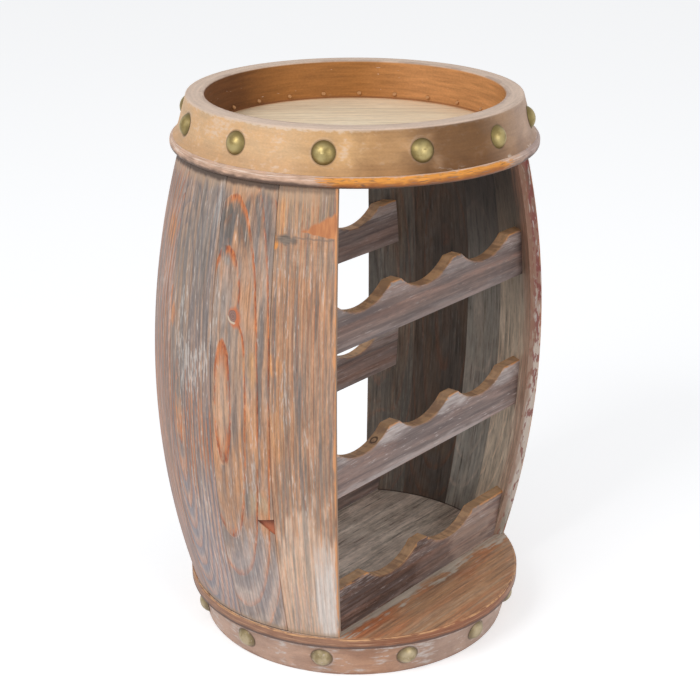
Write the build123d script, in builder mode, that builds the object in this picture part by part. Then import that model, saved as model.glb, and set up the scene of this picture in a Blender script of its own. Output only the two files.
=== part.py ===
from build123d import *
from math import atan2, cos, degrees, hypot, radians, sin, sqrt
import os

# A small barrel-shaped wine rack: two walls of bulged staves stand between round boards,
# scalloped rails across the open front and back carry eight lying bottles, and a rim
# makes a serving tray of the top. +Z is up, -Y is the open front, and the origin is on
# the floor at the middle of the rack. Millimetres.

# Heights, from the floor up
band_height = 36
board_thickness = 10
stave_length = 418
rim_height = 36

# Staves: outer radii at the foot, the bulge and the head, and the degrees that each stave
# takes of its wall, towards rising angles
foot_radius = 158
bulge_radius = 188.9
head_radius = 161
stave_thickness = 12
stave_edge_round = 1.2
stave_angles = {"right": (18.6, 14.5, 20, 16.1), "left": (14.3, 18.8, 18.5, 17.6)}

# A three-cornered chip beside a seam, where a knot has dropped out
chipped_stave = "left_stave_3"
chip_length = 17
chip_width = 17
chip_depth = 2.2
chip_height = 163
chip_slant = 4

# Boards, base band and tray rim
base_overhang = 2
base_edge_round = 2
tray_overhang = 4
tray_edge_round = 4
band_setback = 4.5
band_lean = 9.5
band_wall = 16
rim_setback = 8
rim_lean = 7.6
rim_wall = 16.2
cove_height = 9
cove_setback = 3
ring_edge_round = 1.8

# Bottle rails
rail_gap = 144
rail_thickness = 12
rail_height = 45
rail_edge_round = 1
shelf_pitch = 135.5
bay_pitch = 90
scallop_radius = 55
scallop_depth = 15
scallop_corner_round = 3
bottom_bay_count = 2
middle_bay_count = 3
top_bay_count = 3

# Brass dome studs round the band and the rim
stud_count = 12
stud_radius = 10
stud_dome_height = 5.5
stud_wall = 0.8
stud_shank_radius = 1.4
stud_shank_length = 12
band_stud_height = 20
rim_stud_height = 17.5
band_stud_turn = -2

# Brads driven aslant from inside the rim and the band into the boards
brad_count = 24
brad_head_radius = 1.9
brad_head_thickness = 1.2
brad_shank_radius = 0.9
brad_slant = 45
brad_height = 4
brad_cover = 2

# Screws through the boards into the ends of the staves
screw_head_radius = 3.6
screw_shank_radius = 1.75
screw_length = 32

# Nails through the staves into the ends of the rails, set below the wood and filled over
nail_radius = 1
nail_length = 32
nail_set_depth = 2
nail_heights = (12, 33)

# Points of the fasteners, the clearance of their holes, and how closely edges are compared
tip_length = 3
fit_gap = 0.1
edge_tolerance = 0.001

base_board_z = band_height
stave_foot_z = base_board_z + board_thickness
stave_head_z = stave_foot_z + stave_length
stave_middle_z = (stave_foot_z + stave_head_z) / 2
tray_floor_z = stave_head_z + board_thickness

base_board_radius = foot_radius + base_overhang
tray_board_radius = head_radius + tray_overhang
band_top_radius = base_board_radius - band_setback
band_floor_radius = band_top_radius - band_lean
band_inner_radius = band_floor_radius - band_wall
rim_waist_radius = tray_board_radius - rim_setback
rim_top_radius = rim_waist_radius - rim_lean
rim_inner_radius = rim_top_radius - rim_wall

shelf_bay_counts = {"bottom": bottom_bay_count, "middle": middle_bay_count, "top": top_bay_count}

# Each stave's first angle and the angle it takes, with the walls centred on the X axis
wall_middles = {"right": 0, "left": 180}
stave_spans = {}
for wall, angles in stave_angles.items():
    stave_start = wall_middles[wall] - sum(angles) / 2
    for number, angle in enumerate(angles):
        stave_spans[f"{wall}_stave_{number + 1}"] = (stave_start, angle)
        stave_start += angle

brad_first_angle = -90 + 180 / brad_count
brad_length = (brad_height + board_thickness - brad_cover) / sin(radians(brad_slant))

os.makedirs("parts", exist_ok=True)


def write_part(part, name):
    part.label = name
    export_step(part, f"parts/{name}.step")


def stave_arc(inset):
    """The stave's long curve in the radius-height plane, moved towards the axis by inset."""
    return ThreePointArc(
        (foot_radius - inset, stave_foot_z),
        (bulge_radius - inset, stave_middle_z),
        (head_radius - inset, stave_head_z),
    )


def stave_radius(height, inset=0):
    """Radius of that curve at a height."""
    curve = stave_arc(inset)
    centre = curve.arc_center
    return centre.X + sqrt(curve.radius**2 - (height - centre.Y) ** 2)


def seats_round(count, radius, height, tilt, first_angle):
    """Planes spaced round the axis that face outwards, tipped up by tilt degrees."""
    seats = []
    for step in range(count):
        turn = radians(first_angle + step * 360 / count)
        facing = Vector(cos(turn), sin(turn), 0) * cos(radians(tilt)) + Vector(0, 0, sin(radians(tilt)))
        seats.append(Plane(origin=(radius * cos(turn), radius * sin(turn), height), z_dir=facing))
    return seats


# ---------- Fasteners: each stands on its seat plane with its head up and its shank down ----------


def turned(*outline):
    """A solid of revolution about Z from radius-height points."""
    with BuildPart() as solid:
        with BuildSketch(Plane.XZ):
            with BuildLine():
                Polyline(*outline, close=True)
            make_face()
        revolve(axis=Axis.Z)
    return solid.part


dome_radius = (stud_radius**2 + stud_dome_height**2) / (2 * stud_dome_height)
hollow_radius = stud_radius - stud_wall
hollow_height = stud_dome_height - stud_wall

with BuildPart() as stud:
    with BuildSketch(Plane.XZ):
        with BuildLine():
            RadiusArc((0, stud_dome_height), (stud_radius, 0), dome_radius)
            Line((stud_radius, 0), (hollow_radius, 0))
            hollow = RadiusArc((hollow_radius, 0), (stud_shank_radius, hollow_height), -dome_radius)
            Polyline(
                hollow @ 1,
                (stud_shank_radius, tip_length - stud_shank_length),
                (0, -stud_shank_length),
                (0, stud_dome_height),
            )
        make_face()
    revolve(axis=Axis.Z)

stud_socket = turned(
    (0, 0),
    (stud_shank_radius + fit_gap, 0),
    (stud_shank_radius + fit_gap, -stud_shank_length - fit_gap),
    (0, -stud_shank_length - fit_gap),
)
brad = turned(
    (0, brad_head_thickness),
    (brad_head_radius, brad_head_thickness),
    (brad_head_radius, 0),
    (brad_shank_radius, 0),
    (brad_shank_radius, tip_length - brad_length),
    (0, -brad_length),
)
brad_socket = turned(
    (0, brad_head_radius + brad_head_thickness),
    (brad_head_radius + fit_gap, brad_head_radius + brad_head_thickness),
    (brad_head_radius + fit_gap, -fit_gap),
    (brad_shank_radius + fit_gap, -fit_gap),
    (brad_shank_radius + fit_gap, -brad_length - fit_gap),
    (0, -brad_length - fit_gap),
)
screw_cone_height = screw_head_radius - screw_shank_radius
screw = turned(
    (0, 0),
    (screw_head_radius, 0),
    (screw_shank_radius, -screw_cone_height),
    (screw_shank_radius, tip_length - screw_length),
    (0, -screw_length),
)
screw_socket = turned(
    (0, screw_head_radius),
    (screw_head_radius + fit_gap, screw_head_radius),
    (screw_head_radius + fit_gap, 0),
    (screw_shank_radius + fit_gap, -screw_cone_height),
    (screw_shank_radius + fit_gap, -screw_length - fit_gap),
    (0, -screw_length - fit_gap),
)
nail = turned(
    (0, 0),
    (nail_radius, 0),
    (nail_radius, tip_length - nail_length),
    (0, -nail_length),
)
nail_socket = turned(
    (0, fit_gap),
    (nail_radius + fit_gap, fit_gap),
    (nail_radius + fit_gap, -nail_length - fit_gap),
    (0, -nail_length - fit_gap),
)


def placed(solid, seats):
    """Copies of a solid on every seat, as one group."""
    with BuildPart() as group:
        with Locations(*seats):
            add(solid)
    return group.part


# Studs stand square to the leaning faces. The rim has one at the middle of its front, and the
# band's row is turned a little from that.
band_tilt = -degrees(atan2(band_lean, band_height))
rim_tilt = degrees(atan2(rim_lean, rim_height - cove_height))
band_stud_radius = band_floor_radius + band_lean * band_stud_height / band_height
rim_stud_share = (rim_stud_height - cove_height) / (rim_height - cove_height)
rim_stud_radius = rim_waist_radius - rim_lean * rim_stud_share

band_first_angle = -90 + band_stud_turn
band_stud_seats = seats_round(
    stud_count, band_stud_radius + fit_gap, band_stud_height, band_tilt, band_first_angle
)
rim_stud_z = tray_floor_z + rim_stud_height
rim_stud_seats = seats_round(stud_count, rim_stud_radius + fit_gap, rim_stud_z, rim_tilt, -90)

base_studs = placed(stud.part, band_stud_seats)
write_part(base_studs, "base_studs")
tray_studs = placed(stud.part, rim_stud_seats)
write_part(tray_studs, "tray_studs")

# Brads toe the rim down onto the tray board, and the band up onto the base board. Their
# heads face inwards, so the seats point through the axis.
rim_brad_z = tray_floor_z + brad_height
rim_brad_seats = seats_round(brad_count, -rim_inner_radius, rim_brad_z, brad_slant, brad_first_angle)
band_brad_z = base_board_z - brad_height
band_brad_seats = seats_round(brad_count, -band_inner_radius, band_brad_z, -brad_slant, brad_first_angle)

tray_brads = placed(brad, rim_brad_seats)
write_part(tray_brads, "tray_brads")
base_brads = placed(brad, band_brad_seats)
write_part(base_brads, "base_brads")


def stave_screw_seats(board_face_z, end_z, mirror):
    """One seat for each stave, on the board's outer face, in line with the stave's slope."""
    step = board_thickness * mirror
    slope = stave_radius(end_z + step, stave_thickness / 2) - stave_radius(end_z, stave_thickness / 2)
    radius = stave_radius(end_z, stave_thickness / 2) - slope
    seats = []
    for start, angle in stave_spans.values():
        turn = radians(start + angle / 2)
        outward = Vector(cos(turn), sin(turn), 0)
        axis = outward * -slope + Vector(0, 0, -step)
        seats.append(Plane(origin=outward * radius + Vector(0, 0, board_face_z), z_dir=axis))
    return seats


base_screw_seats = stave_screw_seats(base_board_z, stave_foot_z, 1)
tray_screw_seats = stave_screw_seats(tray_floor_z, stave_head_z, -1)

with BuildPart() as base_screws:
    add(placed(screw, base_screw_seats))
    split(bisect_by=Plane.XY.offset(base_board_z), keep=Keep.TOP)
write_part(base_screws.part, "base_screws")

with BuildPart() as tray_screws:
    add(placed(screw, tray_screw_seats))
    split(bisect_by=Plane.XY.offset(tray_floor_z), keep=Keep.BOTTOM)
write_part(tray_screws.part, "tray_screws")

# Nails run along X through the outermost staves into the rail ends.
rail_middle_y = (rail_gap + rail_thickness) / 2
nail_seats = []
for level in range(len(shelf_bay_counts)):
    for height in nail_heights:
        nail_z = stave_foot_z + level * shelf_pitch + height
        head_x = sqrt(stave_radius(nail_z) ** 2 - rail_middle_y**2) - nail_set_depth
        for side in (-1, 1):
            for nail_y in (-rail_middle_y, rail_middle_y):
                nail_seats.append(Plane(origin=(side * head_x, nail_y, nail_z), z_dir=(side, 0, 0)))

rail_nails = placed(nail, nail_seats)
write_part(rail_nails, "rail_nails")

# Holes left for them in the wood
band_holes = placed(stud_socket, band_stud_seats) + placed(brad_socket, band_brad_seats)
rim_holes = placed(stud_socket, rim_stud_seats) + placed(brad_socket, rim_brad_seats)
base_screw_holes = placed(screw_socket, base_screw_seats)
tray_screw_holes = placed(screw_socket, tray_screw_seats)
nail_holes = placed(nail_socket, nail_seats)

# ---------- Base band and tray rim ----------

with BuildPart() as base_band:
    with BuildSketch(Plane.XZ):
        with BuildLine():
            Polyline(
                (band_inner_radius, 0),
                (band_floor_radius, 0),
                (band_top_radius, base_board_z),
                (band_inner_radius, base_board_z),
                close=True,
            )
        make_face()
    revolve(axis=Axis.Z)
    fillet(base_band.edges().filter_by(GeomType.CIRCLE).group_by(Axis.Z)[0], ring_edge_round)
    add(band_holes, mode=Mode.SUBTRACT)
write_part(base_band.part, "base_band")

with BuildPart() as tray_rim:
    with BuildSketch(Plane.XZ):
        with BuildLine():
            waist = (rim_waist_radius, tray_floor_z + cove_height)
            Polyline(
                waist,
                (rim_top_radius, tray_floor_z + rim_height),
                (rim_inner_radius, tray_floor_z + rim_height),
                (rim_inner_radius, tray_floor_z),
                (tray_board_radius - cove_setback, tray_floor_z),
            )
            TangentArc(
                waist,
                (tray_board_radius - cove_setback, tray_floor_z),
                tangent=(rim_lean, cove_height - rim_height),
            )
        make_face()
    revolve(axis=Axis.Z)
    fillet(tray_rim.edges().filter_by(GeomType.CIRCLE).group_by(Axis.Z)[-1], ring_edge_round)
    add(rim_holes, mode=Mode.SUBTRACT)
write_part(tray_rim.part, "tray_rim")

# ---------- Boards ----------

with BuildPart() as base_board:
    with BuildSketch(Plane.XY.offset(base_board_z)):
        Circle(base_board_radius)
    extrude(amount=board_thickness)
    fillet(base_board.edges().group_by(Axis.Z)[-1], base_edge_round)
    add(band_holes, mode=Mode.SUBTRACT)
    add(base_screw_holes, mode=Mode.SUBTRACT)
write_part(base_board.part, "base_board")

with BuildPart() as tray_board:
    with BuildSketch(Plane.XY.offset(stave_head_z)):
        Circle(tray_board_radius)
    extrude(amount=board_thickness)
    fillet(tray_board.edges(), tray_edge_round)
    add(rim_holes, mode=Mode.SUBTRACT)
    add(tray_screw_holes, mode=Mode.SUBTRACT)
write_part(tray_board.part, "tray_board")

# ---------- Walls: each stave is a slice of the barrel with its outer long edges eased ----------

chip_turn = radians(sum(stave_spans[chipped_stave]))
chip_outward = Vector(cos(chip_turn), sin(chip_turn), 0)
chip_plane = Plane(
    origin=chip_outward * (stave_radius(chip_height) - chip_depth) + Vector(0, 0, chip_height),
    x_dir=(-sin(chip_turn), cos(chip_turn), 0),
    z_dir=chip_outward,
)
with BuildPart() as chip:
    with BuildSketch(chip_plane):
        with BuildLine():
            Polyline(
                (stave_edge_round, chip_width / 2),
                (-chip_length, chip_slant),
                (stave_edge_round, -chip_width / 2),
                close=True,
            )
        make_face()
    extrude(amount=2 * chip_depth)

for name, (start, angle) in stave_spans.items():
    with BuildPart() as stave:
        with BuildSketch(Plane.XZ.rotated((0, 0, start))):
            with BuildLine():
                outer = stave_arc(0)
                inner = stave_arc(stave_thickness)
                Line(outer @ 0, inner @ 0)
                Line(outer @ 1, inner @ 1)
            make_face()
        revolve(axis=Axis.Z, revolution_arc=angle)
        long_edges = stave.edges().filter_by(lambda edge: edge.length > stave_length)
        outer_edges = long_edges.sort_by(lambda edge: hypot(edge.center().X, edge.center().Y))[-2:]
        fillet(outer_edges, stave_edge_round)
        if name == chipped_stave:
            add(chip.part, mode=Mode.SUBTRACT)
        add(base_screw_holes, mode=Mode.SUBTRACT)
        add(tray_screw_holes, mode=Mode.SUBTRACT)
        add(nail_holes, mode=Mode.SUBTRACT)
    write_part(stave.part, name)

# ---------- Rails: scalloped boards whose ends follow the inside of the walls ----------

with BuildPart() as barrel_inside:
    with BuildSketch(Plane.XZ):
        with BuildLine():
            inner = stave_arc(stave_thickness)
            Polyline(inner @ 0, (0, stave_foot_z), (0, stave_head_z), inner @ 1)
        make_face()
    revolve(axis=Axis.Z)

for level, (shelf, bays) in enumerate(shelf_bay_counts.items()):
    rail_z = stave_foot_z + level * shelf_pitch
    scallop_z = rail_z + rail_height - scallop_depth + scallop_radius
    bay_middles = [(bay - (bays - 1) / 2) * bay_pitch for bay in range(bays)]
    for end in ("front", "back"):
        outer_y = rail_gap / 2 + rail_thickness
        rail_plane_offset = rail_gap / 2 if end == "front" else -outer_y
        with BuildPart() as rail:
            with BuildSketch(Plane.XZ.offset(rail_plane_offset)) as profile:
                with Locations((0, rail_z + rail_height / 2)):
                    Rectangle(2 * bulge_radius, rail_height)
                with Locations(*[(middle, scallop_z) for middle in bay_middles]):
                    Circle(scallop_radius, mode=Mode.SUBTRACT)
                corners = profile.vertices().filter_by(lambda v: abs(v.X) < bulge_radius - rail_thickness)
                fillet(corners, scallop_corner_round)
            extrude(amount=rail_thickness)
            face_edges = rail.edges().filter_by(lambda edge: edge.bounding_box().size.Y < edge_tolerance)
            upper_edges = face_edges.filter_by(lambda edge: edge.center().Z > rail_z + rail_edge_round)
            end_x = bulge_radius - edge_tolerance
            top_edges = upper_edges.filter_by(lambda edge: abs(edge.center().X) < end_x)
            fillet(top_edges, rail_edge_round)
            add(barrel_inside.part, mode=Mode.INTERSECT)
            add(nail_holes, mode=Mode.SUBTRACT)
        write_part(rail.part, f"{end}_rail_{shelf}")
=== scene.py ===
import bpy
import math
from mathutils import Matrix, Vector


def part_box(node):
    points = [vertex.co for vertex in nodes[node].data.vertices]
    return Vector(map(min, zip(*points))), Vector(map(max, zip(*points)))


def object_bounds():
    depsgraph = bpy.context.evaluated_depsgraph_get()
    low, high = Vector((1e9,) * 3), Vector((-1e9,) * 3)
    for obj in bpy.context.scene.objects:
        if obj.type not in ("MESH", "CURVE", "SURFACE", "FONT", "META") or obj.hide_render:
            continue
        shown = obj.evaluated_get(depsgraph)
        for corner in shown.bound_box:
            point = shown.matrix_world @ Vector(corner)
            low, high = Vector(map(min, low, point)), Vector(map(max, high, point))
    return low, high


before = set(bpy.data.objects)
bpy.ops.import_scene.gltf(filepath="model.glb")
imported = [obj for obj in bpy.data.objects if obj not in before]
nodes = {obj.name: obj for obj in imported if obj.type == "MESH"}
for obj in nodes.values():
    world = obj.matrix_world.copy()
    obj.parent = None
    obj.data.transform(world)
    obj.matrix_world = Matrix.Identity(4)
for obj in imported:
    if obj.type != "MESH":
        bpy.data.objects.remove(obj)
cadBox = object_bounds()
bpy.ops.object.select_all(action="DESELECT")
print("wine rack: solids loaded")

millimetre = 0.001


class Amount:  # a number inside a finish; sums on it add Math nodes
    def __init__(self, finish, socket):
        self.finish = finish
        self.socket = socket

    def work(self, operation, *amounts):
        return self.finish.node("ShaderNodeMath", {"operation": operation}, amounts)

    def __add__(self, other):
        return self.work("ADD", self, other)

    def __radd__(self, other):
        return self.work("ADD", other, self)

    def __sub__(self, other):
        return self.work("SUBTRACT", self, other)

    def __rsub__(self, other):
        return self.work("SUBTRACT", other, self)

    def __mul__(self, other):
        return self.work("MULTIPLY", self, other)

    def __rmul__(self, other):
        return self.work("MULTIPLY", other, self)

    def __truediv__(self, other):
        return self.work("DIVIDE", self, other)

    def __pow__(self, other):
        return self.work("POWER", self, other)

    def lowest(self, other):
        return self.work("MINIMUM", self, other)

    def highest(self, other):
        return self.work("MAXIMUM", self, other)

    def size(self):
        return self.work("ABSOLUTE", self)

    def remainder(self):
        return self.work("FRACT", self)


class Finish:  # builds one material around a Principled shader; lengths in it are millimetres
    def __init__(self, name, seed=0):
        self.seed = seed
        self.material = bpy.data.materials.new(name)
        self.material.use_nodes = True
        self.tree = self.material.node_tree
        self.shader = self.tree.nodes["Principled BSDF"]
        place = self.node("ShaderNodeTexCoord", {}, (), "Object")
        scaled = {0: place, "Scale": 1 / millimetre}
        self.place = self.node("ShaderNodeVectorMath", {"operation": "SCALE"}, scaled)

    def node(self, kind, settings, sockets=(), output=0):
        node = self.tree.nodes.new(kind)
        for name, setting in settings.items():
            setattr(node, name, setting)
        for name, value in sockets.items() if isinstance(sockets, dict) else enumerate(sockets):
            self.feed(node.inputs[name], value)
        return Amount(self, node.outputs[output])

    def feed(self, socket, value):
        if isinstance(value, Amount):
            self.tree.links.new(value.socket, socket)
        elif socket.type == "RGBA":
            socket.default_value = (*value, 1)
        else:
            socket.default_value = value

    def apart(self, vector):
        return [self.node("ShaderNodeSeparateXYZ", {}, [vector], axis) for axis in "XYZ"]

    def together(self, x, y, z):
        return self.node("ShaderNodeCombineXYZ", {}, [x, y, z])

    def turned(self, degrees):
        sockets = {"Vector": self.place, "Rotation": (0, 0, math.radians(degrees))}
        return self.node("ShaderNodeMapping", {}, sockets)

    # The angle of a point round its axis, in radians
    def angle(self, y, x):
        return self.node("ShaderNodeMath", {"operation": "ARCTAN2"}, [y, x])

    # A mask that goes smoothly from 0 at start to 1 at end
    def mask(self, value, start, end):
        sockets = {"Value": value, "From Min": start, "From Max": end}
        return self.node("ShaderNodeMapRange", {"interpolation_type": "SMOOTHSTEP"}, sockets)

    # A mask that is 1 where an angle is within narrow of the middle, and 0 past wide, in degrees
    def facing(self, angle, place, ragged=0):
        middle, wide, narrow = place
        gap = (angle - math.radians(middle)).size() + ragged
        return self.mask(gap, math.radians(wide), math.radians(narrow))

    # A ragged oval, given by its middle and its half sizes: 1 in its middle, 0 outside
    def patch(self, x, y, oval, ragged):
        near = distance((x - oval[0]) / oval[2], (y - oval[1]) / oval[3])
        return self.mask(near + ragged, 1.25, 0.6)

    # Layers from ovals that also have a share and a tone
    def patches(self, x, y, ovals, ragged):
        return [(self.patch(x, y, oval, ragged) * share, tone) for *oval, share, tone in ovals]

    # Noise around 0 with spots of about these sizes; each draw is a pattern of its own
    def noise(self, place, sizes, draw=0, detail=2, warp=0):
        seed = self.seed + draw
        sockets = {
            "Vector": place,
            "Location": (seed * 7.31, seed * 3.17, seed * 5.03),
            "Scale": [1 / size for size in sizes],
        }
        spread = self.node("ShaderNodeMapping", {}, sockets)
        sockets = {"Vector": spread, "Scale": 1, "Detail": detail, "Distortion": warp}
        return self.node("ShaderNodeTexNoise", {}, sockets) - 0.5

    def blend(self, share, first, second, way="MIX"):
        settings = {"data_type": "RGBA", "blend_type": way}
        return self.node("ShaderNodeMix", settings, {0: share, 6: first, 7: second}, 2)

    # Lighter above 1, darker below 1
    def shade(self, colour, amount):
        grey = self.node("ShaderNodeCombineColor", {}, [amount, amount, amount])
        return self.blend(1, colour, grey, "MULTIPLY")

    # A colour with tones laid over it in turn, each as much as its mask says
    def layered(self, colour, *layers):
        for mask, tone in layers:
            colour = self.blend(mask, colour, tone)
        return colour

    def lay(self, *layers):
        self.colour = self.layered(self.colour, *layers)

    def set(self, values):
        for name, value in values.items():
            self.feed(self.shader.inputs[name], value)

    def close(self, roughness, relief, reliefDepth, metal=0, specular=0.25):
        sockets = {"Strength": 1, "Distance": reliefDepth * millimetre, "Height": relief}
        normal = self.node("ShaderNodeBump", {}, sockets)
        self.set({"Base Color": self.colour, "Roughness": roughness, "Metallic": metal, "Normal": normal})
        self.set({"Specular IOR Level": specular})
        return self.material


def distance(x, y):
    return (x * x + y * y) ** 0.5


# Lines of late wood that rise slowly and end sharply, as growth rings do
def ringLines(wood, rings, rise, width):
    share = (rings / width).remainder()
    return wood.mask(share, rise, 0.92) * wood.mask(share, 1, 0.95)


# Weathered softwood with its fibres along the board: board is (across, depth, along). Stains are
# masks with their colours, and bleached says where the pale wash has stayed
def weatheredWood(wood, board, rings, look, stains=(), bleached=0):
    fibre = wood.noise(board, (1.9, 1.9, 40), 1)
    dash = wood.noise(board, (1.9, 1.9, 7), 2)
    streak = wood.noise(board, (4.5, 4.5, 110), 3)
    patch = wood.noise(board, (26, 26, 90), 4)
    fade = wood.noise(board, (11, 11, 100), 5, 1)

    wood.colour = wood.blend(wood.mask(patch, -0.12, 0.12), look["grey"], look["warm"])
    wood.lay(
        *stains,
        (wood.mask(streak, 0.01, 0.15) * look["streaks"], look["streak"]),
        (wood.mask(streak, -0.01, -0.15) * look["darkStreaks"], look["dark"]),
    )

    # Growth rings: fine lines, dark early wood, broad bands low on a stave, and late lines with
    # a deep red core
    lineStrength = wood.mask(fade + dash * 0.6, -0.2, 0.05)
    if look["lineTop"]:
        height = wood.apart(board)[2]
        lineStrength = lineStrength * wood.mask(height, look["lineTop"] + 40, look["lineTop"] - 40)
    fineLine = ringLines(wood, rings, 0.35, look["fineWidth"]) * wood.mask(streak, -0.12, 0.06)
    share = ((rings + look["ringShift"]) / look["ringWidth"]).remainder()
    early = wood.mask(share, 0.6, 0.05) * wood.mask(fade, 0.1, -0.08)
    wood.lay((fineLine * look["fineLines"], look["line"]), (early * look["darkEarly"], look["dark"]))
    if look["bandShare"]:
        height = wood.apart(board)[2]
        lowPart = wood.mask(height + patch * 160, look["bandTop"] + 50, look["bandTop"] - 40)
        pale = wood.mask(share, 0.25, 0.6) * wood.mask(share, 1.02, 0.9)
        wood.lay((lowPart * look["bandShare"], wood.blend(pale, look["bandDark"], look["bandPale"])))
        lineStrength = lineStrength * (1 - lowPart * look["bandCalm"])
    line = ringLines(wood, rings + look["ringShift"], look["lineRise"], look["ringWidth"]) * lineStrength
    core = wood.mask(share, 0.86, 0.93) * wood.mask(dash + fade, 0.2, -0.04)
    lineColour = wood.blend(core, look["line"], look["deepLine"])

    # Fibres, soot in the checks, and what is left of the pale wash
    soot = wood.mask(fibre * 0.8 - dash * 0.6, -0.07, -0.2)
    chalk = wood.noise(board, (1.3, 1.3, 10), 6) + fibre * 0.5 + patch * 0.2 + bleached * 0.13
    washed = wood.mask(chalk, 0.14, 0.26) * look["wash"]
    wood.lay(
        (line * look["lines"], lineColour),
        (wood.mask(fibre, 0.07, 0.2) * look["warmFibres"], look["streak"]),
        (soot * look["soot"], look["sootColour"]),
        (washed, look["washColour"]),
    )
    wood.colour = wood.shade(wood.colour, 1 + fibre * look["fibre"] + dash * look["fibre"])
    return fibre * 0.7 + dash * 0.6 + line * 0.3 + soot * -0.4, washed


print("wine rack: finishes ready")


# Staves. Angles go round the axis in degrees, and sideways places on a stave are millimetres
# from its middle, towards rising angles. A pair of lengths or heights is where a mask starts
# and where it is full
barrel = {
    "staveThickness": 12,
    "endRadius": 159.5,
    "headLean": 0.0072,
    "reliefDepth": 0.4,
    "firstAngles": {"right": -34.6, "left": 145.4},
    "staveAngles": {"right": (18.6, 14.5, 20, 16.1), "left": (14.3, 18.8, 18.5, 17.6)},
    "tanPaint": (0.52, 0.355, 0.24),  # strayed from the rim onto the stave heads
    "footPaint": (0.42, 0.29, 0.19),
    "edgeWear": (0.74, 0.34, 0.15),
    "seamDirt": (0.16, 0.12, 0.1),
    # dirt and painted shade under the lip and at the stave feet
    "jointDirtAndShade": (0.06, 0.042, 0.036),
    # painted shade on the walls' inside, towards the head
    "paintedShadeColour": (0.026, 0.016, 0.014),
    "paintedShadeHeights": (180, 420),
}
# The upright end faces of the walls: plain, or with flaking paint on the right wall's front one, whose upper
# part is darkened by painted shade under the rim
endFace = {
    "plain": (0.4, 0.25, 0.16), "paint": (0.58, 0.49, 0.42), "flake": (0.22, 0.055, 0.05),
    "paleFlake": (0.62, 0.57, 0.53), "innerSide": (0.28, 0.155, 0.1), "flakeHeights": (90, 280),
    "tonesAndShade": [(230, 320, (0.31, 0.17, 0.125)), (385, 425, (0.165, 0.085, 0.066)),
              (95, 60, (0.3, 0.26, 0.21))],
    "beside": (0.52, 0.275, 0.19), "besideWidths": (24, 5), "besideHeights": (30, 130),
}
knot = {
    "length": 1.25,  # of its width
    "heart": (0.22, 0.135, 0.11), "ring": (0.33, 0.2, 0.17), "flame": (0.6, 0.17, 0.065),
    "rim": (0.66, 0.55, 0.42), "spike": (0.17, 0.135, 0.11), "spikeTip": (0.74, 0.3, 0.08),
    "crack": (0.24, 0.17, 0.13), "resin": (0.63, 0.26, 0.105), "deepResin": (0.48, 0.18, 0.075),
}
# Where a splinter broke off one stave
chip = {
    "height": 163, "halfHeights": (14, 12), "sideways": (6, 8), "depths": (0.8, 1.2), "floorDepths": (5, 4),
    "dark": (0.38, 0.12, 0.06), "red": (0.5, 0.165, 0.085), "shadow": (0.16, 0.055, 0.035),
}
staveBase = {
    "grey": (0.34, 0.275, 0.24), "warm": (0.47, 0.3, 0.21), "line": (0.57, 0.18, 0.06),
    "deepLine": (0.31, 0.062, 0.027), "dark": (0.21, 0.175, 0.16), "streak": (0.6, 0.34, 0.2),
    "sootColour": (0.15, 0.115, 0.1), "washColour": (0.68, 0.63, 0.58), "ringShift": 4.3,
    "lineRise": 0.74, "lines": 0.9, "fineWidth": 4.1, "fineLines": 0.3, "darkEarly": 0.5, "streaks": 0.4,
    "darkStreaks": 0.5, "warmFibres": 0.25, "soot": 0.42, "wash": 0.35, "fibre": 0.85, "wander": 1.6,
    "pithAcross": 0, "pithOut": 208, "pithLean": 0, "spread": 1, "straight": 0, "ragged": 1.2,
    "ringStart": 0, "crowd": 1, "lineTop": 0, "bandShare": 0, "bandCalm": 0.55,
    "veils": [], "knots": [], "spikes": [], "wedges": [], "chipped": 0, "wornEdge": 0, "flaking": 0,
    "inside": (0.22, 0.18, 0.15), "insideShare": 0.75, "paintedShade": 0.3, "joint": 0.85,
}
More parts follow.
